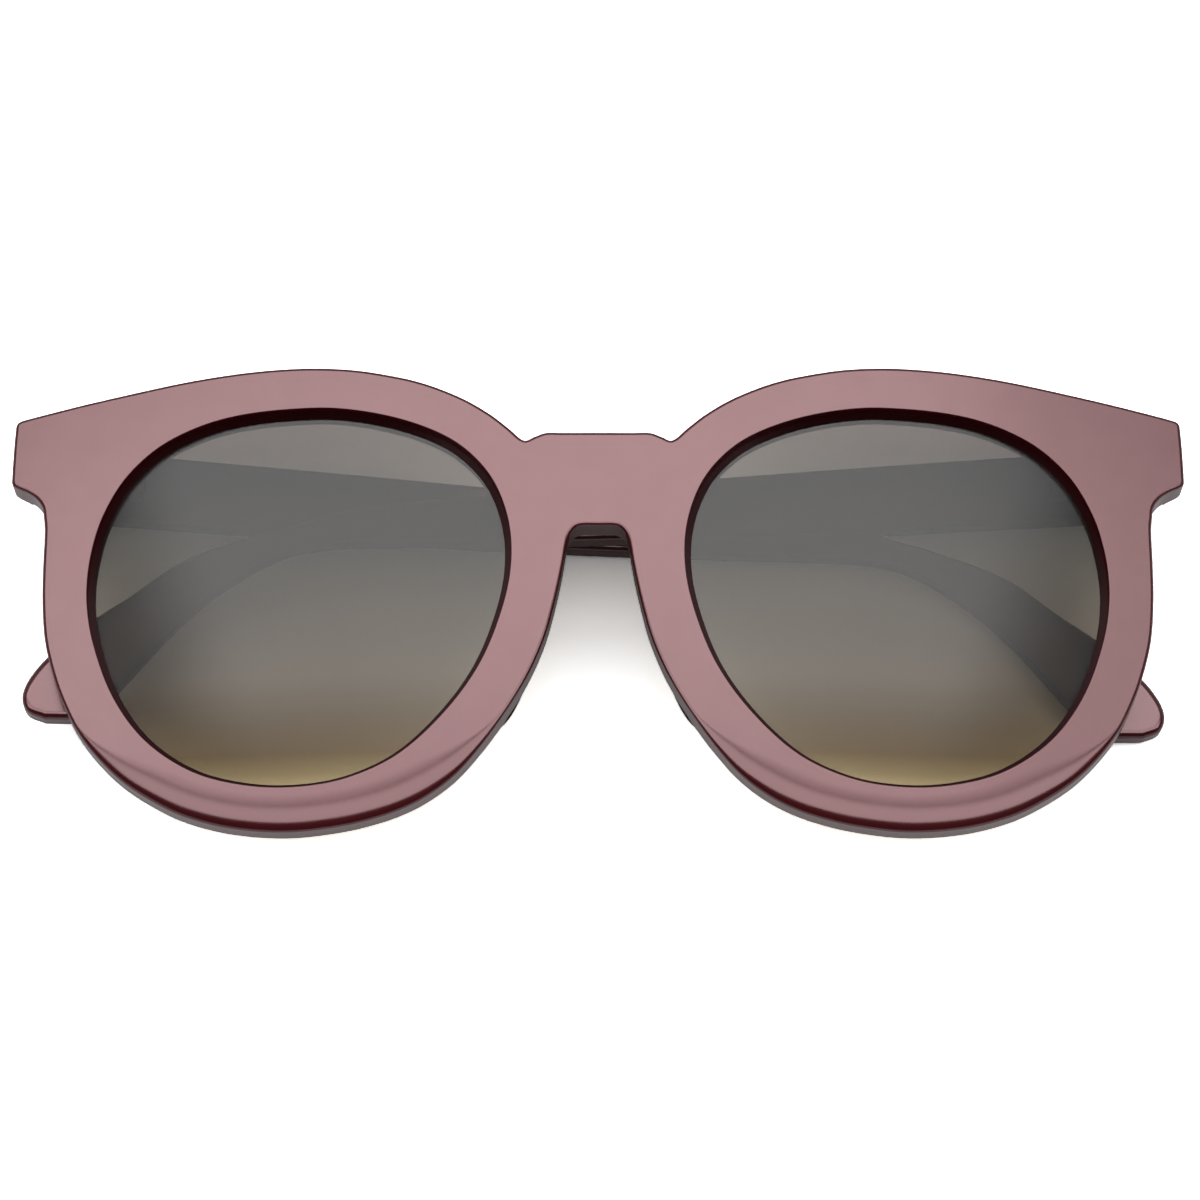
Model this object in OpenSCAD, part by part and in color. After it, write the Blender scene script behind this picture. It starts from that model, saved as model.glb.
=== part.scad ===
// Oversized sunglasses, folded and lying on their back.
// X runs across the face, Y from the lower rims up to the brow, Z out of the lenses.
// The origin is under the middle of the front, on the surface that the lowest arm touches.

/* [Front] */
// Width of the front from an eye opening to the end of the end piece
side_w = 10.4; // [9:0.1:12]
// Height of the rim above an eye opening
brow_h = 5.55; // [4.6:0.05:7]
// Height of the rim below an eye opening
rim_h = 4.75; // [4:0.05:6]
// Thickness of the front
front_t = 4.5; // [4.2:0.1:5.5]
// Radius that the front is curved to across the face
front_bend_r = 330; // [280:5:500]

/* [Eye openings and lenses] */
// Width of one eye opening
eye_w = 53.7; // [51:0.1:54.5]
// Height of one eye opening
eye_h = 49.8; // [47:0.1:50.5]
// Distance between the two eye openings
lens_gap = 21.8; // [21:0.1:24]
// Thickness of a lens
lens_t = 1.6; // [1.2:0.1:1.9]
// Depth of the lens behind the front's face
lens_set = 2.2; // [1.4:0.1:2.3]
// Depth of the groove that holds the lens
groove_depth = 0.8; // [0.5:0.1:1.2]
// Gap between a lens and the groove all round
lens_clearance = 0.1; // [0.05:0.01:0.2]

/* [Nose pads] */
// Length of a nose pad along the nasal rim
pad_l = 14; // [11:0.5:16]
// Width of a nose pad at its middle
pad_w = 3.8; // [3:0.1:4.4]
// Height of a nose pad behind the front
pad_h = 3.4; // [2.6:0.1:5]
// Lean of a nose pad away from the upright, in degrees
pad_lean = 21; // [12:1:30]
// Distance of a nose pad's middle below the middle of the front
pad_drop = 9.6; // [8:0.2:11]
// Distance from a nose pad's middle line to the edge of the eye opening's widest point
pad_reach = 0.7; // [0.4:0.1:1.2]

/* [End pieces and hinges] */
// Depth of the flat-backed block behind the front's thinnest corner
block_step = 0.15; // [0.1:0.05:0.6]
// Width of the flat-backed block behind an end piece
block_w = 13; // [11.5:0.1:14]
// Distance that the block runs into the front from its flat back
block_root = 3.6; // [3:0.1:4]
// Distance that an end piece stands out past an open arm
end_overhang = 1.8; // [0.6:0.1:2.6]
// Distance of the hinge's middle below the top of the brow
hinge_drop = 10.1; // [9:0.05:11]
// Lean of the hinge axis, which lets the folded arms slope down, in degrees
hinge_lean = 4.5; // [2:0.1:6]
// Distance from the hinge axis to the back of the end piece
hinge_stand = 2.6; // [2.2:0.1:3.4]
// Radius of the hinge barrels
barrel_r = 1.3; // [1.1:0.05:1.5]
// Height of one hinge barrel
barrel_h = 1.1; // [0.9:0.05:1.3]
// Gap between one hinge barrel and the next
barrel_gap = 0.08; // [0.05:0.01:0.15]
// Radius of the hinge screw's shank
screw_r = 0.68; // [0.5:0.01:0.8]
// Gap between the hinge screw and the barrels' bores
screw_clearance = 0.04; // [0.02:0.01:0.08]
// Radius of the hinge screw's head
screw_head_r = 1.2; // [1:0.05:1.3]
// Height of the hinge screw's head
screw_head_h = 0.7; // [0.5:0.05:0.9]
// Width and depth of the slot in the screw's head
slot_w = 0.36; // [0.3:0.02:0.5]
slot_d = 0.35; // [0.25:0.05:0.4]
// Thickness of the hinge leaves
leaf_t = 0.9; // [0.7:0.05:1.2]
// Length of a hinge leaf from its barrel
leaf_l = 4.6; // [3.5:0.1:5]
// Height of a hinge leaf
leaf_h = 6; // [5.5:0.1:6.8]
// Radius of the anchors that hold the front's leaf in its block
anchor_r = 0.9; // [0.6:0.05:1.1]
// Depth of the anchors behind the face of the leaf
anchor_l = 1.8; // [1.4:0.1:2.2]

/* [Arms] */
// Length of an arm from the hinge to the end of its ear piece
arm_l = 143.3; // [136:0.1:146]
// Height of an arm at the hinge
arm_h = 9.3; // [8:0.1:10]
// Thickness of an arm
arm_t = 3.6; // [3.2:0.1:4]
// Distance that the ear piece drops below the arm
arm_drop = 22.5; // [19:0.5:25]
// Gap between an open arm and the back of the end piece
arm_gap = 0.2; // [0.1:0.05:0.4]
// Gap between an arm's inner face and the hinge barrels
arm_barrel_gap = 0.3; // [0.2:0.05:0.5]
// Angle between a folded arm and a line straight across, in degrees
fold_tilt = 1.8; // [1.7:0.1:2.4]
// Width of the metal core inside an arm
core_w = 2; // [1.2:0.1:2.4]
// Thickness of the metal core inside an arm
core_t = 1.2; // [0.8:0.1:1.4]
// Distance that the core stops short of the end of the ear piece
core_short = 14; // [8:1:30]
// Gap between a set-in metal piece and the plastic round it
set_in_clearance = 0.02; // [0.01:0.01:0.05]

/* [Hidden] */

// Smoothness of the round parts, and of the front's long bend
round_fn = 48;
hull_fn = 24;
bend_fn = 720;
// Points that a curve gets between two points of its outline
outline_steps = 3;
eye_steps = 5;
arm_steps = 4;
// Overrun of every cut
cut = 1;

// The right half of the front's outline, from the middle of the bridge over the
// brow, the end piece and the lower rim to the nose, in shares of half its size
outline_shares = [
    [0, 0.685], [0.06, 0.685], [0.0885, 0.685], [0.108, 0.667], [0.1247, 0.652],
    [0.1505, 0.7065], [0.1797, 0.767], [0.2205, 0.833], [0.2615, 0.883],
    [0.3023, 0.922], [0.3432, 0.95], [0.415, 0.985], [0.492, 1],
    [0.57, 0.997], [0.64, 0.983], [0.713, 0.96], [0.796, 0.926],
    [0.879, 0.8905], [0.94, 0.862], [0.981, 0.842], [0.9925, 0.832],
    [0.9965, 0.812], [1, 0.57], [0.998, 0.549], [0.989, 0.533],
    [0.973, 0.5125], [0.957, 0.483], [0.945, 0.44], [0.938, 0.39],
    [0.9355, 0.333], [0.9355, 0.177], [0.934, 0.02], [0.9265, -0.156],
    [0.907, -0.322], [0.888, -0.43], [0.864, -0.538], [0.832, -0.646],
    [0.788, -0.757], [0.735, -0.85], [0.68, -0.921], [0.605, -0.976],
    [0.515, -1], [0.427, -0.994], [0.357, -0.966], [0.305, -0.925],
    [0.263, -0.865], [0.23, -0.793], [0.199, -0.7], [0.169, -0.598],
    [0.142, -0.495], [0.1185, -0.392], [0.0995, -0.289], [0.0845, -0.185],
    [0.0735, -0.08], [0.0645, 0.02], [0.0572, 0.117], [0.052, 0.198],
    [0.0465, 0.239], [0.0375, 0.263], [0.026, 0.271], [0, 0.271]
];
// One eye opening, from its top round the temple side, in shares of half its size
eye_shares = [
    [-0.053, 1], [0.346, 0.967], [0.631, 0.856], [0.819, 0.687], [0.935, 0.475],
    [0.99, 0.25], [1, 0.03], [0.96, -0.21], [0.855, -0.5], [0.695, -0.735],
    [0.47, -0.905], [0.22, -0.985], [-0.02, -1], [-0.25, -0.96], [-0.48, -0.845],
    [-0.69, -0.635], [-0.85, -0.39], [-0.95, -0.12], [-0.997, 0.13],
    [-0.985, 0.37], [-0.905, 0.6], [-0.76, 0.775], [-0.565, 0.89], [-0.31, 0.97]
];
// The upper and the lower edge of an arm from the hinge to the ear piece: a share
// of its length, then a share of its height at the hinge, then a share of its drop
arm_upper_shares = [
    [0.105, 0.503, 0], [0.25, 0.49, 0], [0.4, 0.465, 0], [0.57, 0.43, 0],
    [0.69, 0.38, 0], [0.75, 0.18, 0], [0.79, 0.05, 0], [0.85, 0, -0.1],
    [0.9, 0, -0.295], [0.935, 0, -0.425], [0.975, 0, -0.62], [0.993, 0, -0.75],
    [0.999, 0, -0.85], [0.995, 0, -0.935], [0.98, 0, -0.985]
];
arm_lower_shares = [
    [0.953, 0, -1], [0.935, 0, -0.962], [0.9, 0, -0.745], [0.858, 0, -0.48],
    [0.816, 0, -0.275], [0.764, -0.26, 0], [0.727, -0.155, 0], [0.69, -0.15, 0],
    [0.57, -0.265, 0], [0.4, -0.385, 0], [0.25, -0.45, 0], [0.105, -0.49, 0]
];
// The middle line of the metal core, in the same shares
core_shares = [
    [0.5, 0.09, 0], [0.62, 0.11, 0], [0.7, 0.12, 0], [0.76, 0.03, 0],
    [0.81, 0, -0.1], [0.86, 0, -0.305], [0.905, 0, -0.52]
];
// Places of the three rounds of a nose pad along its length, and their sizes
pad_place_shares = [0.5, 0, -0.5];
pad_size_shares = [0.36, 0.5, 0.4];
pad_height_shares = [0.45, 1, 0.5];

front_h = brow_h + eye_h + rim_h;
half_w = lens_gap / 2 + eye_w + side_w;
half_h = front_h / 2;
eye_x = lens_gap / 2 + eye_w / 2;
eye_lift = (rim_h - brow_h) / 2;
hinge_lift = half_h - hinge_drop;
lens_edge = groove_depth - lens_clearance;
back_bend_r = front_bend_r - front_t;

// Heights, measured from the front's face at the bridge, that the hinge hangs from
block_back = sqrt(back_bend_r * back_bend_r - half_w * half_w) - front_bend_r - block_step;
pivot_z = block_back - hinge_stand;
arm_face = barrel_r + arm_barrel_gap;
arm_butt = hinge_stand - arm_gap;
pivot_x = half_w - end_overhang - arm_t - arm_face;
// The left arm lies lowest, and its far end rests on the surface
reach_down = (arm_face + arm_t) * cos(fold_tilt) + arm_l * sin(fold_tilt);
lift = reach_down - pivot_z;

bore_r = screw_r + screw_clearance;
barrel_count = 5;
barrel_step = barrel_h + barrel_gap;
barrels_h = barrel_count * barrel_h + (barrel_count - 1) * barrel_gap;

// Place between b and c on a smooth curve through four points, where t runs from 0 to 1
function between(a, b, c, d, t) =
    let (
        here = norm(c - b),
        leaving = (c - a) * here / (norm(b - a) + here),
        arriving = (d - b) * here / (here + norm(d - c))
    )
    b + t * leaving + t * t * (3 * (c - b) - 2 * leaving - arriving)
    + t * t * t * (2 * (b - c) + leaving + arriving);

// A smooth open curve through the points
function open_curve(p, steps) = [
    for (i = [0 : len(p) - 2], k = [0 : steps - 1])
        between(p[max(i - 1, 0)], p[i], p[i + 1], p[min(i + 2, len(p) - 1)], k / steps),
    p[len(p) - 1]
];

// A smooth closed curve through the points
function closed_curve(p, steps) = [
    for (i = [0 : len(p) - 1], k = [0 : steps - 1])
        between(p[(i + len(p) - 1) % len(p)], p[i], p[(i + 1) % len(p)],
            p[(i + 2) % len(p)], k / steps)
];

// A clockwise loop moved outwards by a distance
function grown(p, distance) = [
    for (i = [0 : len(p) - 1])
        let (
            before = p[(i + len(p) - 1) % len(p)],
            after = p[(i + 1) % len(p)],
            along = (after - before) / norm(after - before)
        )
        p[i] + distance * [-along[1], along[0]]
];

// An open line turned into a strip of one width
function strip(p, width) = let (
    sides = [
        for (i = [0 : len(p) - 1])
            let (
                before = p[max(i - 1, 0)],
                after = p[min(i + 1, len(p) - 1)],
                along = (after - before) / norm(after - before)
            )
            width / 2 * [-along[1], along[0]]
    ]
) concat(
    [for (i = [0 : len(p) - 1]) p[i] + sides[i]],
    [for (i = [len(p) - 1 : -1 : 0]) p[i] - sides[i]]
);

function sized(shares, w, h) = [for (s = shares) [s[0] * w, s[1] * h]];

// The core's far points move back together as it gets shorter
function core_offset(p) = (core_short - arm_l * (1 - core_shares[len(core_shares) - 1][0]))
    * max(0, (-p[0] / arm_l - core_shares[0][0])) / (1 - core_shares[0][0]);

function along_arm(shares) = [for (s = shares) [-s[0] * arm_l, s[1] * arm_h + s[2] * arm_drop]];

half_outline = open_curve(sized(outline_shares, half_w, half_h), outline_steps);
outline = concat(
    half_outline,
    [for (i = [len(half_outline) - 2 : -1 : 1]) [-half_outline[i][0], half_outline[i][1]]]
);
eye_outline = closed_curve(sized(eye_shares, eye_w / 2, eye_h / 2), eye_steps);
arm_outline = concat(
    [[arm_butt, arm_h / 2]],
    open_curve(along_arm(arm_upper_shares), arm_steps),
    open_curve(along_arm(arm_lower_shares), arm_steps),
    [[arm_butt, -arm_h / 2]]
);
core_line = concat(
    [[arm_butt, 0]],
    open_curve([for (s = along_arm(core_shares)) s + [core_offset(s), 0]], arm_steps)
);

// Everything behind the front's face, from one depth to another, bent as the front is
module bent_layer(depth, t) {
    translate([0, half_h + cut, -front_bend_r])
        rotate([90, 0, 0])
            difference() {
                cylinder(r = front_bend_r - depth, h = front_h + 2 * cut, $fn = bend_fn);
                translate([0, 0, -cut])
                    cylinder(r = front_bend_r - depth - t, h = front_h + 4 * cut, $fn = bend_fn);
            }
}

// An upright prism through the whole front, for the layers to be cut from
module prism(points) {
    translate([0, 0, block_back - cut])
        linear_extrude(height = cut - block_back + cut)
            polygon(points);
}

module at_eye(side) {
    mirror([side < 0 ? 1 : 0, 0, 0])
        translate([eye_x, eye_lift, 0])
            children();
}

// The place of a hinge: its axis is Y, and its folded arm runs to -X
module at_hinge(side) {
    mirror([side < 0 ? 1 : 0, 0, 0])
        translate([pivot_x, hinge_lift, pivot_z])
            rotate([0, 0, hinge_lean])
                children();
}

// The place of a folded arm: the right one leans to the front and the left one away
module at_arm(side) {
    at_hinge(side)
        rotate([0, side * fold_tilt, 0])
            children();
}

module end_block() {
    translate([0, 0, block_back])
        linear_extrude(height = block_root)
            intersection() {
                polygon(outline);
                translate([half_w - block_w, hinge_lift - arm_h / 2])
                    square([block_w + cut, arm_h + cut]);
            }
}

// Barrels of one leaf, with the necks that join them to it
module barrels(first, neck_z) {
    for (i = [first : 2 : barrel_count - 1])
        translate([0, i * barrel_step - barrels_h / 2, 0])
            difference() {
                union() {
                    rotate([-90, 0, 0])
                        cylinder(r = barrel_r, h = barrel_h, $fn = round_fn);
                    translate([-barrel_r, 0, min(0, neck_z)])
                        cube([2 * barrel_r, barrel_h, abs(neck_z)]);
                }
                translate([0, -cut, 0])
                    rotate([-90, 0, 0])
                        cylinder(r = bore_r, h = barrel_h + 2 * cut, $fn = round_fn);
            }
}

module front_leaf(gap) {
    translate([-leaf_l - gap, -leaf_h / 2 - gap, hinge_stand - gap])
        cube([leaf_l + barrel_r + 2 * gap, leaf_h + 2 * gap, leaf_t + 2 * gap]);
    for (y = [-leaf_h / 4, leaf_h / 4])
        translate([-leaf_l / 2, y, hinge_stand + leaf_t / 2])
            cylinder(r = anchor_r + gap, h = anchor_l + gap, $fn = round_fn);
}

module temple_leaf(gap) {
    translate([-2 * leaf_l - gap, -leaf_h / 3 - gap, -arm_face - leaf_t - gap])
        cube([2 * leaf_l + barrel_r + 2 * gap, 2 * leaf_h / 3 + 2 * gap, leaf_t + 2 * gap]);
}

module arm_core(gap) {
    translate([gap, 0, -arm_face - arm_t / 2 - core_t / 2 - gap - leaf_t / 4])
        linear_extrude(height = core_t + 2 * gap)
            polygon(strip(core_line, core_w + 2 * gap));
}

module front_frame() {
    color([0.28, 0.06, 0.09])
        difference() {
            union() {
                intersection() {
                    bent_layer(0, front_t);
                    prism(outline);
                }
                end_block();
                mirror([1, 0, 0])
                    end_block();
            }
            for (side = [-1, 1]) {
                at_eye(side)
                    prism(eye_outline);
                intersection() {
                    bent_layer(lens_set - lens_clearance, lens_t + 2 * lens_clearance);
                    at_eye(side)
                        prism(grown(eye_outline, groove_depth));
                }
                at_hinge(side)
                    front_leaf(set_in_clearance);
            }
        }
}

module lens(side) {
    color([0.4, 0.38, 0.33, 0.6])
        intersection() {
            bent_layer(lens_set, lens_t);
            at_eye(side)
                prism(grown(eye_outline, lens_edge));
        }
}

// A pad follows the nasal rim and is glued flat to the back of the front
module nose_pad(side) {
    color([0.28, 0.06, 0.09])
        mirror([side < 0 ? 1 : 0, 0, 0])
            intersection() {
                translate([lens_gap / 2 - pad_reach, -pad_drop, -front_t])
                    rotate([0, 0, pad_lean])
                        hull()
                            for (i = [0 : len(pad_place_shares) - 1])
                                translate([0, pad_place_shares[i] * pad_l, 0])
                                    scale([pad_size_shares[i] * pad_w, pad_size_shares[i] * pad_w,
                                        pad_height_shares[i] * pad_h])
                                        sphere(r = 1, $fn = hull_fn);
                bent_layer(front_t, 2 * pad_h);
            }
}

module front_hinge(side) {
    color("silver")
        at_hinge(side) {
            front_leaf(0);
            barrels(0, hinge_stand);
        }
}

module hinge_screw(side) {
    color("gainsboro")
        at_hinge(side)
            translate([0, -barrels_h / 2, 0])
                rotate([-90, 0, 0])
                    difference() {
                        union() {
                            cylinder(r = screw_r, h = barrels_h, $fn = round_fn);
                            translate([0, 0, barrels_h])
                                cylinder(r = screw_head_r, h = screw_head_h, $fn = round_fn);
                        }
                        translate([-screw_head_r - cut, -slot_w / 2, barrels_h + screw_head_h - slot_d])
                            cube([2 * screw_head_r + 2 * cut, slot_w, slot_d + cut]);
                    }
}

module temple_hinge(side) {
    color("silver")
        at_arm(side) {
            temple_leaf(0);
            barrels(1, -arm_face);
        }
}

module temple(side) {
    color([0.28, 0.06, 0.09])
        at_arm(side)
            difference() {
                translate([0, 0, -arm_face - arm_t])
                    linear_extrude(height = arm_t)
                        polygon(arm_outline);
                temple_leaf(set_in_clearance);
                arm_core(set_in_clearance);
            }
}

module temple_core(side) {
    color("dimgray")
        at_arm(side)
            arm_core(0);
}

translate([0, 0, lift]) {
    front_frame();
    lens(-1);  // lens_left
    lens(1);  // lens_right
    nose_pad(-1);  // nose_pad_left
    nose_pad(1);  // nose_pad_right
    front_hinge(-1);  // front_hinge_left
    front_hinge(1);  // front_hinge_right
    hinge_screw(-1);  // hinge_screw_left
    hinge_screw(1);  // hinge_screw_right
    temple_hinge(-1);  // temple_hinge_left
    temple_hinge(1);  // temple_hinge_right
    temple(-1);  // temple_left
    temple(1);  // temple_right
    temple_core(-1);  // temple_core_left
    temple_core(1);  // temple_core_right
}
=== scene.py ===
"""Oversized sunglasses, folded and lying on their back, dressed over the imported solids."""

import math

import bpy
import numpy as np
from mathutils import Matrix, Vector, geometry


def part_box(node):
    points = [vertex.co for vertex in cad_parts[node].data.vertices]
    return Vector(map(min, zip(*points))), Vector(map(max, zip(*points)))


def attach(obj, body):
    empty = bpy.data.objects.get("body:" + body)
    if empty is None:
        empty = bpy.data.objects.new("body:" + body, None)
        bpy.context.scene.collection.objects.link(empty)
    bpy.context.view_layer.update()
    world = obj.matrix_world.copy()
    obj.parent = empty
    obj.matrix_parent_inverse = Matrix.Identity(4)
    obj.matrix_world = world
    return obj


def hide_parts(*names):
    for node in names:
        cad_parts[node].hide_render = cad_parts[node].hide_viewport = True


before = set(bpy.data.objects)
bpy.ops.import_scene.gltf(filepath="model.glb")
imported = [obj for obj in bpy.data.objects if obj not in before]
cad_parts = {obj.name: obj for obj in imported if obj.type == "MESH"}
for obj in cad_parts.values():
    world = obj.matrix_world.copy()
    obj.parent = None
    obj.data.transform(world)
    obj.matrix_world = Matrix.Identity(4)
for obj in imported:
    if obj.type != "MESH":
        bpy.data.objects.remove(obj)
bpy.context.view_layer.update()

MM = 0.001

# Sizes, in millimetres

front_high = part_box("front_frame")[1] / MM
LIFT = front_high.z  # the front's face at the bridge
HALF_W = front_high.x
HALF_H = 30.05
FRONT_T = 4.5
BEND_R = 330
BACK_BEND_R = BEND_R - FRONT_T

EYE_W, EYE_H = 53.7, 49.8
LENS_GAP = 21.8
EYE_X = LENS_GAP / 2 + EYE_W / 2
EYE_Y = -0.4
LENS_T = 1.6
LENS_SET = 2.2
GROOVE = 0.8
GROOVE_GAP = 0.1

BLOCK_STEP = 0.15
BLOCK_W = 13
BLOCK_ROOT = 3.6
END_OVERHANG = 1.8

HINGE_LIFT = 19.95
HINGE_LEAN = math.radians(4.5)
HINGE_STAND = 2.6
FOLD_TILT = math.radians(1.8)
ARM_FACE = 1.6
ARM_GAP = 0.2
ARM_L, ARM_H, ARM_T = 143.3, 9.3, 3.6
ARM_DROP = 22.5
PIVOT_X = HALF_W - END_OVERHANG - ARM_T - ARM_FACE

PAD_L, PAD_W, PAD_H = 16.38, 3.8, 3.4
PAD_LEAN = math.radians(21)
PAD_DROP = 9.6
PAD_REACH = 0.7

# How far the set-in metal stands proud of the plastic
PROUD = 0.04

BLOCK_BACK = math.sqrt(BACK_BEND_R ** 2 - HALF_W ** 2) - BEND_R - BLOCK_STEP
PIVOT_Z = BLOCK_BACK - HINGE_STAND

# Radii of the rounded edges
FRONT_ROUND = 0.45
EYE_ROUND = 0.12
BLOCK_ROUND = 0.3
LENS_ROUND = 0.15
ARM_ROUND = 0.9
BUTT_ROUND = 0.5
# How gently a rounding starts: 2 is an ellipse, and more is flatter at first
ELLIPSE = 2
# The outer edge of the lower rims is rounded off over this width and depth and starts more
# gently. It changes over between these two heights
RIM_SOFT_W, RIM_SOFT_T = 4.5, 1.35
RIM_SOFT_START = 3.2
RIM_SOFT_FROM, RIM_SOFT_TO = -16, -28

# How finely the meshes are cut: steps between two given points of a curve, steps of a
# rounding, and the size of a flat face's cells
OUTLINE_STEPS, EYE_STEPS, ARM_STEPS = 5, 8, 7
ROUND_STEPS, RIM_ROUND_STEPS, LENS_ROUND_STEPS = 5, 12, 2
FRONT_CELL, LENS_CELL, ARM_CELL = 1.6, 2.5, 2.2

# The solids' outlines, in shares of the sizes above
OUTLINE_SHARES = [
    (0, 0.685), (0.06, 0.685), (0.0885, 0.685), (0.108, 0.667), (0.1247, 0.652),
    (0.1505, 0.7065), (0.1797, 0.767), (0.2205, 0.833), (0.2615, 0.883),
    (0.3023, 0.922), (0.3432, 0.95), (0.415, 0.985), (0.492, 1), (0.57, 0.997),
    (0.64, 0.983), (0.713, 0.96), (0.796, 0.926), (0.879, 0.8905), (0.94, 0.862),
    (0.981, 0.842), (0.9925, 0.832), (0.9965, 0.812), (1, 0.57), (0.998, 0.549),
    (0.989, 0.533), (0.973, 0.5125), (0.957, 0.483), (0.945, 0.44), (0.938, 0.39),
    (0.9355, 0.333), (0.9355, 0.177), (0.934, 0.02), (0.9265, -0.156), (0.907, -0.322),
    (0.888, -0.43), (0.864, -0.538), (0.832, -0.646), (0.788, -0.757), (0.735, -0.85),
    (0.68, -0.921), (0.605, -0.976), (0.515, -1), (0.427, -0.994), (0.357, -0.966),
    (0.305, -0.925), (0.263, -0.865), (0.23, -0.793), (0.199, -0.7), (0.169, -0.598),
    (0.142, -0.495), (0.1185, -0.392), (0.0995, -0.289), (0.0845, -0.185),
    (0.0735, -0.08), (0.0645, 0.02), (0.0572, 0.117), (0.052, 0.198), (0.0465, 0.239),
    (0.0375, 0.263), (0.026, 0.271), (0, 0.271),
]
# Below RIM_PUSH_TOP the outer edge of the rim is moved out from the solid's, to follow the
# photo. Each pair is an angle in degrees round the middle of the eye opening, from the temple
# side downwards, and the distance there, which is inwards where it is negative
RIM_PUSH = [
    (-60, 0), (-12, 0.3), (12, 0.4), (30, 0.8), (45, 0.85), (90, 0.85), (105, 0.35),
    (122, -0.25), (140, 0),
]
RIM_PUSH_TOP = 12
EYE_SHARES = [
    (-0.053, 1), (0.346, 0.967), (0.631, 0.856), (0.819, 0.687), (0.935, 0.475),
    (0.99, 0.25), (1, 0.03), (0.96, -0.21), (0.855, -0.5), (0.695, -0.735),
    (0.47, -0.905), (0.22, -0.985), (-0.02, -1), (-0.25, -0.96), (-0.48, -0.845),
    (-0.69, -0.635), (-0.85, -0.39), (-0.95, -0.12), (-0.997, 0.13),
    (-0.985, 0.37), (-0.905, 0.6), (-0.76, 0.775), (-0.565, 0.89), (-0.31, 0.97),
]
# A share of the arm's length, of its height at the hinge and of its drop
ARM_UPPER_SHARES = [
    (0.105, 0.503, 0), (0.25, 0.49, 0), (0.4, 0.465, 0), (0.57, 0.43, 0),
    (0.69, 0.38, 0), (0.75, 0.18, 0), (0.79, 0.05, 0), (0.85, 0, -0.1),
    (0.9, 0, -0.295), (0.935, 0, -0.425), (0.975, 0, -0.62), (0.993, 0, -0.75),
    (0.999, 0, -0.85), (0.995, 0, -0.935), (0.98, 0, -0.985),
]
ARM_LOWER_SHARES = [
    (0.953, 0, -1), (0.935, 0, -0.962), (0.9, 0, -0.745), (0.858, 0, -0.48),
    (0.816, 0, -0.275), (0.764, -0.26, 0), (0.727, -0.155, 0), (0.69, -0.15, 0),
    (0.57, -0.265, 0), (0.4, -0.385, 0), (0.25, -0.45, 0), (0.105, -0.49, 0),
]


# Curves

def between(a, b, c, d, t):
    """The place between b and c on a smooth curve through four points."""
    here = np.linalg.norm(c - b)
    leaving = (c - a) * here / (np.linalg.norm(b - a) + here)
    arriving = (d - b) * here / (here + np.linalg.norm(d - c))
    return (b + t * leaving + t ** 2 * (3 * (c - b) - 2 * leaving - arriving)
            + t ** 3 * (2 * (b - c) + leaving + arriving))


def open_curve(points, steps):
    """A smooth curve from the first point to the last."""
    p = [np.array(q, float) for q in points]
    last = len(p) - 1
    curve = [between(p[max(i - 1, 0)], p[i], p[i + 1], p[min(i + 2, last)], k / steps)
             for i in range(last) for k in range(steps)]
    return curve + [p[last]]


def closed_curve(points, steps):
    """A smooth curve through the points and back to the first."""
    p = [np.array(q, float) for q in points]
    n = len(p)
    return [between(p[i - 1], p[i], p[(i + 1) % n], p[(i + 2) % n], k / steps)
            for i in range(n) for k in range(steps)]


def outward(loop):
    """The outward unit normal at each point of a clockwise loop."""
    p = np.array(loop)
    along = np.roll(p, -1, 0) - np.roll(p, 1, 0)
    along /= np.linalg.norm(along, axis=1)[:, None]
    return np.stack([-along[:, 1], along[:, 0]], 1)


def corner_arc(before, corner, after, radius, steps=6):
    """A square corner of a loop turned into an arc."""
    before, corner, after = (np.array(q, float) for q in (before, corner, after))
    back = (before - corner) / np.linalg.norm(before - corner)
    on = (after - corner) / np.linalg.norm(after - corner)
    middle = corner + radius * (back + on)
    turns = [k / steps * math.pi / 2 for k in range(steps + 1)]
    return [middle - radius * (math.cos(t) * on + math.sin(t) * back) for t in turns]


def inside(points, loop):
    """Which of the points lie inside a loop."""
    p, q = np.array(loop), np.roll(np.array(loop), -1, 0)
    x, y = points[:, :1], points[:, 1:]
    crosses = (p[:, 1] > y) != (q[:, 1] > y)
    rise = np.where(p[:, 1] == q[:, 1], 1, q[:, 1] - p[:, 1])
    at = p[:, 0] + (y - p[:, 1]) * (q[:, 0] - p[:, 0]) / rise
    return (crosses & (x < at)).sum(1) % 2 == 1


def within(points, loops):
    """Which of the points lie inside the first loop and outside the others."""
    keep = inside(points, loops[0])
    for hole in loops[1:]:
        keep &= ~inside(points, hole)
    return keep


def mirror(loop):
    """The same loop on the other side, clockwise again."""
    return [p * [-1, 1] for p in loop[::-1]]


def nearest(points, loop):
    """How far each point is from a loop's points."""
    return np.sqrt(((points[:, None, :] - np.array(loop)[None]) ** 2).sum(2)).min(1)


# Plates with rounded edges

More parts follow.
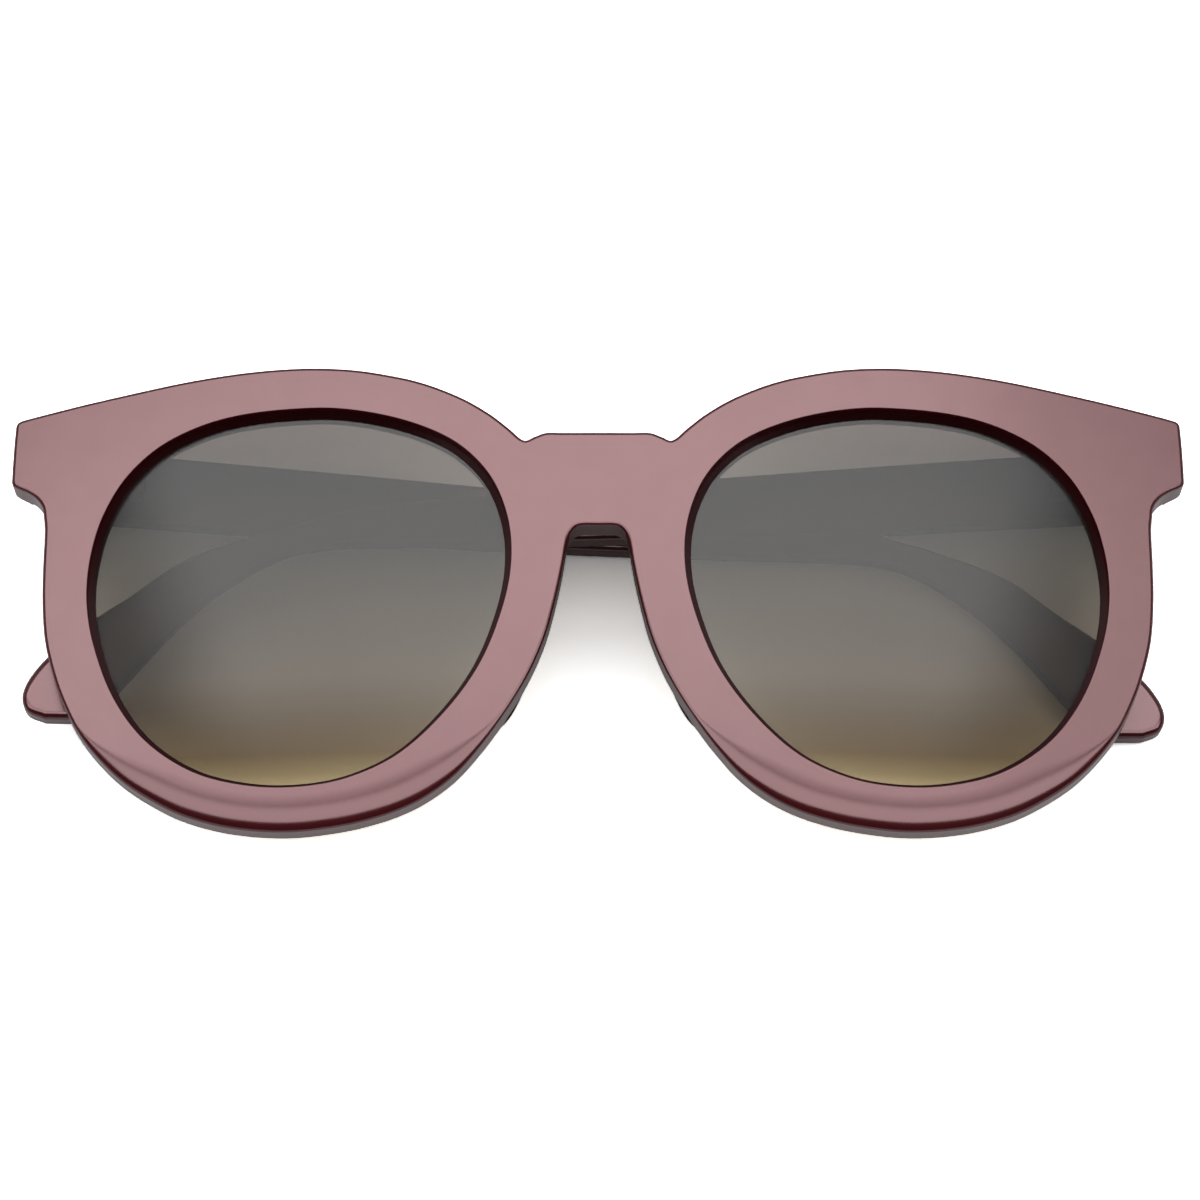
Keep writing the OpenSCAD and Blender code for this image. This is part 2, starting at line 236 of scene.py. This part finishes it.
def rounded_wall(top, bottom, radius, steps=ROUND_STEPS, cuts=(), soften=None):
    """A plate's wall from its top to its bottom. At a point of the outline it gives rings:
    inset, depth and turn of the normal. cuts are rings between the two roundings. soften
    gives the width and depth of the top edge's rounding there, and how gently it starts."""
    quarter = [k / steps * math.pi / 2 for k in range(steps + 1)]

    def rings(x, y):
        w, d, start = soften(x, y) if soften else (radius, radius, ELLIPSE)
        upper = []
        for t in quarter:
            s = math.sin(t) ** (2 / start)
            upper.append((w * (1 - s), top + d * (1 - math.cos(t)),
                          math.atan2(d * start / 2 * s ** (start - 1), w * math.cos(t))))
        middle = [(inset, depth, math.pi / 2) for inset, depth in cuts]
        lower = [(radius * (1 - math.cos(t)), bottom - radius * (1 - math.sin(t)),
                  math.pi / 2 + t) for t in quarter]
        return upper + middle + lower
    return rings


def fill(loops, cell):
    """Triangles between an outer loop and its holes, with even points inside."""
    low, high = np.min(loops[0], 0), np.max(loops[0], 0)
    row_gap = cell * math.sqrt(3) / 2
    edge_gap = cell * 0.6
    grid = np.array([
        (x + (row % 2) * cell / 2, y)
        for row, y in enumerate(np.arange(low[1], high[1], row_gap))
        for x in np.arange(low[0], high[0], cell)
    ])
    grid = grid[within(grid, loops)]
    for loop in loops:
        grid = grid[nearest(grid, loop) > edge_gap]
    points, edges = [], []
    for loop in loops:
        start, count = len(points), len(loop)
        points += [tuple(p) for p in loop]
        edges += [(start + i, start + (i + 1) % count) for i in range(count)]
    points += [tuple(p) for p in grid]
    inside_edges, merge_distance = 1, 1e-7
    made = geometry.delaunay_2d_cdt([Vector(p) for p in points], edges, [],
                                    inside_edges, merge_distance)
    coords = np.array([tuple(v) for v in made[0]])
    faces = np.array([tuple(f) for f in made[2]])
    return coords, faces[within(coords[faces].mean(1), loops)]


class Shell:
    """Vertices, normals and faces of one piece, gathered part by part."""

    def __init__(self):
        self.points, self.normals, self.faces = [], [], []

    def add(self, points, normals, faces):
        start = len(self.points)
        self.points += [tuple(p) for p in points]
        self.normals += [tuple(n) for n in normals]
        self.faces += [tuple(start + i for i in f) for f in faces]

    def plate(self, outer, wall, place, facing, cell, holes=(), hole_wall=None):
        """A plate inside a loop: place puts a flat point and its depth in space, and facing
        gives the normal of the plate's top there. The sign of a wall is 1 round the plate
        and -1 round a hole."""
        walls = [(outer, wall, 1)] + [(hole, hole_wall, -1) for hole in holes]
        for loop, rings, sign in walls:
            self.band(loop, rings, sign, place, facing)
        top, bottom = (0, 1), (-1, -1)
        for end, sign in (top, bottom):
            loops = [[p - n * side * rings(*p)[end][0] for p, n in zip(loop, outward(loop))]
                     for loop, rings, side in walls]
            flat, faces = fill(loops, cell)
            depth = wall(*outer[0])[end][1]
            self.add([place(x, y, depth) for x, y in flat],
                     [sign * facing(x, y) for x, y in flat],
                     faces if sign > 0 else faces[:, ::-1])

    def band(self, loop, rings, sign, place, facing):
        """One wall of a plate, ring by ring."""
        count = len(loop)
        section = [rings(*p) for p in loop]
        points, normals = [], []
        for k in range(len(section[0])):
            for p, n, at in zip(loop, outward(loop) * sign, section):
                inset, depth, turn = at[k]
                flat = p - n * inset
                points.append(place(*flat, depth))
                normals.append(math.cos(turn) * facing(*flat)
                               + math.sin(turn) * np.array([n[0], n[1], 0]))
        faces = []
        for k in range(len(section[0]) - 1):
            here, below = k * count, (k + 1) * count
            for i in range(count):
                j = (i + 1) % count
                quad = (here + i, here + j, below + j, below + i)
                faces.append(quad if sign > 0 else quad[::-1])
        self.add(points, normals, faces)

    def piece(self, name, matrix=Matrix.Identity(4)):
        """The Blender object, its coordinates turned from millimetres to metres."""
        turned = matrix.to_3x3()
        flip = turned.determinant() < 0
        mesh = bpy.data.meshes.new(name)
        mesh.from_pydata([matrix @ Vector(p) * MM for p in self.points], [],
                         [f[::-1] if flip else f for f in self.faces])
        mesh.shade_smooth()
        mesh.normals_split_custom_set_from_vertices(
            [(turned @ Vector(n)).normalized() for n in self.normals])
        mesh.update()
        made = bpy.data.objects.new(name, mesh)
        bpy.context.scene.collection.objects.link(made)
        return made


def place_bent(x, y, depth):
    """A flat point's place at a depth under the bent face."""
    return (x, y, math.sqrt((BEND_R - depth) ** 2 - x * x) - BEND_R)


def facing_bent(x, y):
    """The bent face's normal there."""
    return np.array([x / BEND_R, 0, math.sqrt(1 - (x / BEND_R) ** 2)])


def place_flat(x, y, depth):
    return (x, y, -depth)


def facing_flat(x, y):
    return np.array([0, 0, 1])


# The front

def fuller(points):
    """The outline's given points, with those of the lower rim moved by RIM_PUSH."""
    angles, pushes = zip(*RIM_PUSH)
    moved = []
    for p, out in zip(points, outward(points)):
        angle = math.degrees(math.atan2(EYE_Y - p[1], p[0] - EYE_X))
        push = np.interp(angle, angles, pushes) if p[1] < RIM_PUSH_TOP else 0
        moved.append(p + push * out)
    return moved


raised = Matrix.Translation((0, 0, LIFT))

half_outline = open_curve(fuller(np.array(OUTLINE_SHARES) * (HALF_W, HALF_H)), OUTLINE_STEPS)
outline = half_outline + mirror(half_outline[1:-1])
eye_points = [(x * EYE_W / 2, y * EYE_H / 2) for x, y in EYE_SHARES]
eye_right = [p + [EYE_X, EYE_Y] for p in closed_curve(eye_points, EYE_STEPS)]
eye_left = mirror(eye_right)


def on_side(side):
    """Lifts a right-hand piece into place, mirrored to the left where side is -1."""
    return raised @ Matrix.Diagonal((side, 1, 1, 1))


def clipped(loop, axis, limit):
    """The part of a loop that lies past a limit along one axis."""
    kept = []
    for p, q in zip(loop, loop[1:] + loop[:1]):
        if p[axis] >= limit:
            kept.append(p)
        if (p[axis] >= limit) != (q[axis] >= limit):
            kept.append(p + (q - p) * (limit - p[axis]) / (q[axis] - p[axis]))
    return kept


def rim_softness(x, y):
    """Width, depth and start of the rounding of the front's outer edge."""
    share = min(max((RIM_SOFT_FROM - y) / (RIM_SOFT_FROM - RIM_SOFT_TO), 0), 1)
    share = share * share * (3 - 2 * share)
    return (FRONT_ROUND + share * (RIM_SOFT_W - FRONT_ROUND),
            FRONT_ROUND + share * (RIM_SOFT_T - FRONT_ROUND),
            ELLIPSE + share * (RIM_SOFT_START - ELLIPSE))


def front_frame():
    shell = Shell()
    groove_top, groove_bottom = LENS_SET - GROOVE_GAP, LENS_SET + LENS_T + GROOVE_GAP
    groove = [(0, groove_top), (-GROOVE, groove_top), (-GROOVE, groove_bottom), (0, groove_bottom)]
    shell.plate(outline,
                rounded_wall(0, FRONT_T, FRONT_ROUND, RIM_ROUND_STEPS, soften=rim_softness),
                place_bent, facing_bent, FRONT_CELL,
                holes=[eye_right, eye_left],
                hole_wall=rounded_wall(0, FRONT_T, EYE_ROUND, cuts=groove))
    # The block behind each end piece, which carries the hinge
    x_axis, y_axis = 0, 1
    end_piece = clipped(outline, x_axis, HALF_W - BLOCK_W)
    corner = clipped(end_piece, y_axis, HINGE_LIFT - ARM_H / 2)
    block = [p - n * PROUD for p, n in zip(corner, outward(corner))]
    block_wall = rounded_wall(-BLOCK_BACK - BLOCK_ROOT, -BLOCK_BACK - PROUD, BLOCK_ROUND)
    for loop in (block, mirror(block)):
        shell.plate(loop, block_wall, place_flat, facing_flat, FRONT_CELL)
    return shell.piece("front", raised)


def lens(name, eye):
    shell = Shell()
    edge = GROOVE - GROOVE_GAP
    loop = [p + n * edge for p, n in zip(eye, outward(eye))]
    wall = rounded_wall(LENS_SET, LENS_SET + LENS_T, LENS_ROUND, LENS_ROUND_STEPS)
    shell.plate(loop, wall, place_bent, facing_bent, LENS_CELL)
    return shell.piece(name, raised)


def nose_pad(name, side):
    """A slim blade along the nasal rim, widest and highest at its middle, with blunt ends."""
    shell = Shell()
    rings, around = 25, 32
    bluntness, rise_power = 2.6, 1.2
    mean_width, narrowing = 0.94, 0.06
    points, faces = [], []
    for i in range(rings):
        along = -1 + 2 * i / (rings - 1)
        end = math.sqrt(max(1 - abs(along) ** bluntness, 0))
        half = PAD_W / 2 * end * (mean_width - narrowing * along)
        rise = PAD_H * end ** rise_power
        for k in range(around + 1):
            t = math.pi * k / around
            points.append((-half * math.cos(t), along * PAD_L / 2, -rise * math.sin(t)))
    for i in range(rings - 1):
        for k in range(around):
            a = i * (around + 1) + k
            faces.append((a, a + 1, a + around + 2, a + around + 1))
    middle = Vector((LENS_GAP / 2 - PAD_REACH, -PAD_DROP, 0))
    turn = Matrix.Translation(middle) @ Matrix.Rotation(PAD_LEAN, 4, "Z")
    placed = []
    for p in points:
        q = turn @ Vector(p)
        back = math.sqrt(BACK_BEND_R ** 2 - q.x ** 2) - BEND_R
        placed.append((q.x, q.y, q.z + back))
    shell.add(placed, [(0, 0, 1)] * len(placed), faces)
    pad = shell.piece(name, on_side(side))
    # A zero normal leaves the shading to the smooth faces
    pad.data.normals_split_custom_set_from_vertices([(0, 0, 0)] * len(placed))
    return pad


# The arms

def along_arm(shares):
    """Points of the right arm, which runs from its hinge towards -X."""
    return [(-a * ARM_L, b * ARM_H + c * ARM_DROP) for a, b, c in shares]


def arm_outline():
    butt = HINGE_STAND - ARM_GAP - PROUD
    upper = open_curve(along_arm(ARM_UPPER_SHARES), ARM_STEPS)
    lower = open_curve(along_arm(ARM_LOWER_SHARES), ARM_STEPS)
    high, low = (butt, ARM_H / 2), (butt, -ARM_H / 2)
    # Up the butt and out along the upper edge is anticlockwise, so the loop is turned round
    loop = (corner_arc(low, high, upper[0], BUTT_ROUND) + upper + lower
            + corner_arc(lower[-1], low, high, BUTT_ROUND))
    return loop[::-1]


def temple(name, side):
    shell = Shell()
    wall = rounded_wall(ARM_FACE + PROUD, ARM_FACE + ARM_T, ARM_ROUND)
    shell.plate(arm_outline(), wall, place_flat, facing_flat, ARM_CELL)
    place = (on_side(side)
             @ Matrix.Translation((PIVOT_X, HINGE_LIFT, PIVOT_Z))
             @ Matrix.Rotation(HINGE_LEAN, 4, "Z")
             @ Matrix.Rotation(side * FOLD_TILT, 4, "Y"))
    return shell.piece(name, place)


# Materials

def new_material(name):
    material = bpy.data.materials.new(name)
    material.use_nodes = True
    tree = material.node_tree
    tree.nodes.clear()
    out = tree.nodes.new("ShaderNodeOutputMaterial")
    return material, tree, out


def node(tree, kind, inputs=None, **settings):
    made = tree.nodes.new(kind)
    for key, value in settings.items():
        setattr(made, key, value)
    for key, value in (inputs or {}).items():
        if isinstance(value, bpy.types.NodeSocket):
            tree.links.new(value, made.inputs[key])
        else:
            made.inputs[key].default_value = value
    return made


def linear(r, g, b):
    """An sRGB colour from 0 to 255 as a linear one."""
    def one(v):
        v /= 255
        return v / 12.92 if v <= 0.04045 else ((v + 0.055) / 1.055) ** 2.4
    return (one(r), one(g), one(b), 1)


def plastic():
    """Polished dark burgundy plastic with a faint cloudiness and uneven buffing."""
    dark, light = linear(50, 3, 7), linear(58, 5, 10)
    smoothest, roughest = 0.17, 0.21
    # Its gloss is strong and reddish, so that it shows the lamps as a rosy haze
    gloss_tint, gloss_ior = (1, 0.67, 0.69, 1), 1.9
    material, tree, out = new_material("burgundy_plastic")
    place = node(tree, "ShaderNodeTexCoord").outputs["Object"]
    cloud = node(tree, "ShaderNodeTexNoise", {"Vector": place, "Scale": 60.0, "Detail": 3.0})
    colour = node(tree, "ShaderNodeMix", {
        "Factor": cloud.outputs["Fac"], "A": dark, "B": light}, data_type="RGBA")
    buff = node(tree, "ShaderNodeTexNoise", {"Vector": place, "Scale": 300.0, "Detail": 4.0})
    rough = node(tree, "ShaderNodeMapRange", {
        "Value": buff.outputs["Fac"], "To Min": smoothest, "To Max": roughest})
    shader = node(tree, "ShaderNodeBsdfPrincipled", {
        "Base Color": colour.outputs["Result"], "Roughness": rough.outputs["Result"],
        "Specular Tint": gloss_tint, "IOR": gloss_ior})
    tree.links.new(shader.outputs["BSDF"], out.inputs["Surface"])
    return material


# What one face of a lens lets through, from the bottom of the eye opening to its top
LENS_STOPS = [
    (0.0, (0.98, 0.95, 0.82)), (0.05, (0.67, 0.62, 0.49)), (0.1, (0.49, 0.43, 0.33)),
    (0.18, (0.45, 0.4, 0.32)), (0.3, (0.437, 0.405, 0.355)), (0.42, (0.414, 0.386, 0.34)),
    (0.7, (0.358, 0.344, 0.316)), (1.0, (0.25, 0.223, 0.21)),
]
LENS_IOR = 1.52
# The reflection's strength at the bottom, its full strength, and the share of the height
# at which it is reached. The weaker reflection towards the bottom is painted: it stands in
# for a lens that curves away from the key lamp there
PAINTED_SHINE_LOW, PAINTED_SHINE_FULL, PAINTED_SHINE_FULL_AT = 0.08, 0.76, 0.3
SHINE_ROUGHNESS = 0.2
# The painted fade of the reflection goes to this share towards the lower outer corner: the
# distance from the middle line, and more of it further down, runs from the first to the
# second value in metres
CORNER_SHARE = 0.35
CORNER_SLANT = -0.35
CORNER_FROM, CORNER_TO = 0.046, 0.063


def lens_tint():
    """Tinted lens, dark at the top and pale at the bottom, whose soft reflection has a painted
    fade.
    """
    material, tree, out = new_material("lens_gradient")
    place = node(tree, "ShaderNodeTexCoord").outputs["Object"]
    parts = node(tree, "ShaderNodeSeparateXYZ", {"Vector": place})
    low, high = EYE_Y - EYE_H / 2, EYE_Y + EYE_H / 2
    share = node(tree, "ShaderNodeMapRange", {
        "Value": parts.outputs["Y"], "From Min": low * MM, "From Max": high * MM})
    ramp = node(tree, "ShaderNodeValToRGB", {"Fac": share.outputs["Result"]})
    ends = ramp.color_ramp.elements
    for end, (position, colour) in ((ends[0], LENS_STOPS[0]), (ends[1], LENS_STOPS[-1])):
        end.position = position
        end.color = (*colour, 1)
    for position, colour in LENS_STOPS[1:-1]:
        ramp.color_ramp.elements.new(position).color = (*colour, 1)
    clear = node(tree, "ShaderNodeBsdfTransparent", {"Color": ramp.outputs["Color"]})
    # Painted fade of the reflection: its strength is set by height and by the lower outer corner,
    # not by how the lens meets the light
    painted_shine_fade = node(tree, "ShaderNodeMapRange", {
        "Value": share.outputs["Result"], "From Max": PAINTED_SHINE_FULL_AT, "To Min": PAINTED_SHINE_LOW,
        "To Max": PAINTED_SHINE_FULL})
    aside = node(tree, "ShaderNodeMath", {0: parts.outputs["X"]}, operation="ABSOLUTE")
    corner = node(tree, "ShaderNodeMath", {
        0: parts.outputs["Y"], 1: CORNER_SLANT, 2: aside.outputs["Value"]},
        operation="MULTIPLY_ADD")
    painted_corner_fade = node(tree, "ShaderNodeMapRange", {
        "Value": corner.outputs["Value"], "From Min": CORNER_FROM, "From Max": CORNER_TO,
        "To Min": 1.0, "To Max": CORNER_SHARE}, interpolation_type="SMOOTHSTEP")
    painted_shine_strength = node(tree, "ShaderNodeMath", {
        0: painted_shine_fade.outputs["Result"], 1: painted_corner_fade.outputs["Result"]}, operation="MULTIPLY")
    shine = node(tree, "ShaderNodeBsdfGlossy", {
        "Color": painted_shine_strength.outputs["Value"], "Roughness": SHINE_ROUGHNESS})
    gloss = node(tree, "ShaderNodeFresnel", {"IOR": LENS_IOR})
    mixed = node(tree, "ShaderNodeMixShader", {
        0: gloss.outputs["Fac"], 1: clear.outputs["BSDF"], 2: shine.outputs["BSDF"]})
    tree.links.new(mixed.outputs["Shader"], out.inputs["Surface"])
    return material


def metal(name, colour, roughness):
    """Drawn metal: fine lines along X, on which its roughness varies, and softened edges."""
    along, across = 400, 6000
    spread = 0.15
    edge_round, line_depth = 0.1 * MM, 0.1 * MM
    material, tree, out = new_material(name)
    place = node(tree, "ShaderNodeTexCoord").outputs["Object"]
    lines = node(tree, "ShaderNodeMapping", {"Vector": place, "Scale": (along, across, across)})
    grain = node(tree, "ShaderNodeTexNoise", {"Vector": lines.outputs["Vector"], "Scale": 1.0})
    rough = node(tree, "ShaderNodeMapRange", {
        "Value": grain.outputs["Fac"], "To Min": roughness, "To Max": roughness + spread})
    edge = node(tree, "ShaderNodeBevel", {"Radius": edge_round}, samples=4)
    bump = node(tree, "ShaderNodeBump", {
        "Height": grain.outputs["Fac"], "Strength": 0.1, "Distance": line_depth,
        "Normal": edge.outputs["Normal"]})
    shader = node(tree, "ShaderNodeBsdfPrincipled", {
        "Base Color": colour, "Metallic": 1.0, "Roughness": rough.outputs["Result"],
        "Normal": bump.outputs["Normal"]})
    tree.links.new(shader.outputs["BSDF"], out.inputs["Surface"])
    return material


def grey(level):
    return (level, level, level, 1)


def table_white():
    """White table: it shows as white to the camera and keeps the shadow of the object, but
    throws little light back on it."""
    to_camera, to_mirrors, to_others = grey(2.2), grey(0.5), grey(0.35)
    material, tree, out = new_material("table_white")
    path = node(tree, "ShaderNodeLightPath")
    mirrored = node(tree, "ShaderNodeMath", {
        0: path.outputs["Is Glossy Ray"], 1: path.outputs["Is Transmission Ray"]},
        operation="MAXIMUM")
    bounced = node(tree, "ShaderNodeMix", {
        "Factor": mirrored.outputs["Value"], "A": to_others, "B": to_mirrors}, data_type="RGBA")
    colour = node(tree, "ShaderNodeMix", {
        "Factor": path.outputs["Is Camera Ray"], "A": bounced.outputs["Result"],
        "B": to_camera}, data_type="RGBA")
    shader = node(tree, "ShaderNodeBsdfDiffuse", {"Color": colour.outputs["Result"]})
    tree.links.new(shader.outputs["BSDF"], out.inputs["Surface"])
    return material


def dress(piece, material):
    piece.data.materials.clear()
    piece.data.materials.append(material)


# The pieces

burgundy = plastic()
tint = lens_tint()
hinge_metal = metal("hinge_metal", linear(205, 202, 196), 0.28)
screw_metal = metal("screw_metal", linear(222, 220, 215), 0.2)
core_metal = metal("core_metal", linear(180, 178, 172), 0.35)

# Each new piece with the CAD node that it replaces, its body, its material and its slot
new_pieces = [
    (front_frame(), "front_frame", "front", burgundy, "frame_plastic"),
    (lens("right_lens", eye_right), "lens_right", "front", tint, "lens_tint"),
    (lens("left_lens", eye_left), "lens_left", "front", tint, "lens_tint"),
    (nose_pad("right_pad", 1), "nose_pad_right", "front", burgundy, "frame_plastic"),
    (nose_pad("left_pad", -1), "nose_pad_left", "front", burgundy, "frame_plastic"),
    (temple("right_arm", 1), "temple_right", "arm_right", burgundy, "frame_plastic"),
    (temple("left_arm", -1), "temple_left", "arm_left", burgundy, "frame_plastic"),
]
for piece, solid, body, material, slot in new_pieces:
    dress(piece, material)
    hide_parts(solid)
    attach(piece, body)

# The other CAD nodes keep their shape, and the first of these that their name holds gives
# them their material
metals = (("hinge_screw", screw_metal), ("core", core_metal), ("hinge", hinge_metal))
for name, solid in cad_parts.items():
    for part, material in metals:
        if part in name:
            for slot in solid.material_slots:
                slot.material = material
            break

# The room

# The camera leans by TILT from the face's normal towards -Y, at this distance in
# millimetres from the point that it aims at. That point's place, the photo's width and the
# focal length are in pixels of the photo
TILT = math.radians(18)
DISTANCE = 600
AIM_Y = -1.15
AIM_PX = (598.0, 595.3)
PHOTO = 1200
PHOTO_FOCUS = 4800

# The floor and the lamps, in metres
FLOOR_HALF = 1.5
LAMP_DISTANCE = 1.5
KEY_TURN = TILT + math.radians(1.5)
KEY_DEPTH = 0.34
FILL_TURN = math.radians(-8.4)

floor_mesh = bpy.data.meshes.new("table")
floor_corners = [(x * FLOOR_HALF, y * FLOOR_HALF, 0)
                 for x, y in ((-1, -1), (1, -1), (1, 1), (-1, 1))]
floor_mesh.from_pydata(floor_corners, [], [(0, 1, 2, 3)])
table = bpy.data.objects.new("table", floor_mesh)
bpy.context.scene.collection.objects.link(table)
dress(table, table_white())

aim = Vector((0, AIM_Y, LIFT)) * MM
toward = Vector((0, -math.sin(TILT), math.cos(TILT)))
camera_data = bpy.data.cameras.new("camera")
camera_data.lens = camera_data.sensor_width * PHOTO_FOCUS / PHOTO
camera_data.shift_x = (PHOTO / 2 - AIM_PX[0]) / PHOTO
camera_data.shift_y = (AIM_PX[1] - PHOTO / 2) / PHOTO
camera_data.clip_start = 0.01
camera = bpy.data.objects.new("camera", camera_data)
camera.location = aim + toward * DISTANCE * MM
camera.rotation_euler = toward.to_track_quat("Z", "Y").to_euler()
bpy.context.scene.collection.objects.link(camera)
bpy.context.scene.camera = camera


def softbox(name, turn, aside, size, radiance):
    """A rectangular lamp of one brightness over the object, turned from the zenith towards
    +Y and moved aside along X."""
    data = bpy.data.lights.new(name, "AREA")
    data.shape = "RECTANGLE"
    data.size, data.size_y = size
    data.energy = radiance * math.pi * size[0] * size[1]
    lamp = bpy.data.objects.new(name, data)
    lamp.location = (aside, LAMP_DISTANCE * math.sin(turn), LAMP_DISTANCE * math.cos(turn))
    lamp.rotation_euler = (-turn, 0, 0)
    bpy.context.scene.collection.objects.link(lamp)


# The key stands opposite the camera's tilt, so the faces mirror it as a haze. Its right
# end is dimmer, so the haze fades to the right
softbox("key", KEY_TURN, aside=-0.3, size=(1.84, KEY_DEPTH), radiance=4.25)
softbox("key_end", KEY_TURN, aside=0.87, size=(0.5, KEY_DEPTH), radiance=3.0)
# The fill hangs over the camera's side and shows in the rounding of the lower rims. The
# narrow gap between it and the key shows there as a soft darker line
softbox("fill", FILL_TURN, aside=0, size=(4.0, 0.925), radiance=3.15)

# The room is white to the camera. To everything else it is dim, and less so towards +Y
ROOM_DIM, ROOM_BRIGHT = 0.06, 0.35
ROOM_DIM_Y, ROOM_BRIGHT_Y = -0.1, 0.5
ROOM_TO_CAMERA = 1.0

world = bpy.data.worlds.new("room")
world.use_nodes = True
bpy.context.scene.world = world
tree = world.node_tree
tree.nodes.clear()
path = node(tree, "ShaderNodeLightPath")
direction = node(tree, "ShaderNodeSeparateXYZ", {
    "Vector": node(tree, "ShaderNodeTexCoord").outputs["Generated"]})
backdrop = node(tree, "ShaderNodeMapRange", {
    "Value": direction.outputs["Y"], "From Min": ROOM_DIM_Y, "From Max": ROOM_BRIGHT_Y,
    "To Min": ROOM_DIM, "To Max": ROOM_BRIGHT}, interpolation_type="SMOOTHSTEP")
strength = node(tree, "ShaderNodeMix", {
    "Factor": path.outputs["Is Camera Ray"], "A": backdrop.outputs["Result"],
    "B": ROOM_TO_CAMERA})
room = node(tree, "ShaderNodeBackground", {
    "Color": grey(1), "Strength": strength.outputs["Result"]})
node(tree, "ShaderNodeOutputWorld", {"Surface": room.outputs["Background"]})

bpy.context.scene.view_settings.view_transform = "Standard"
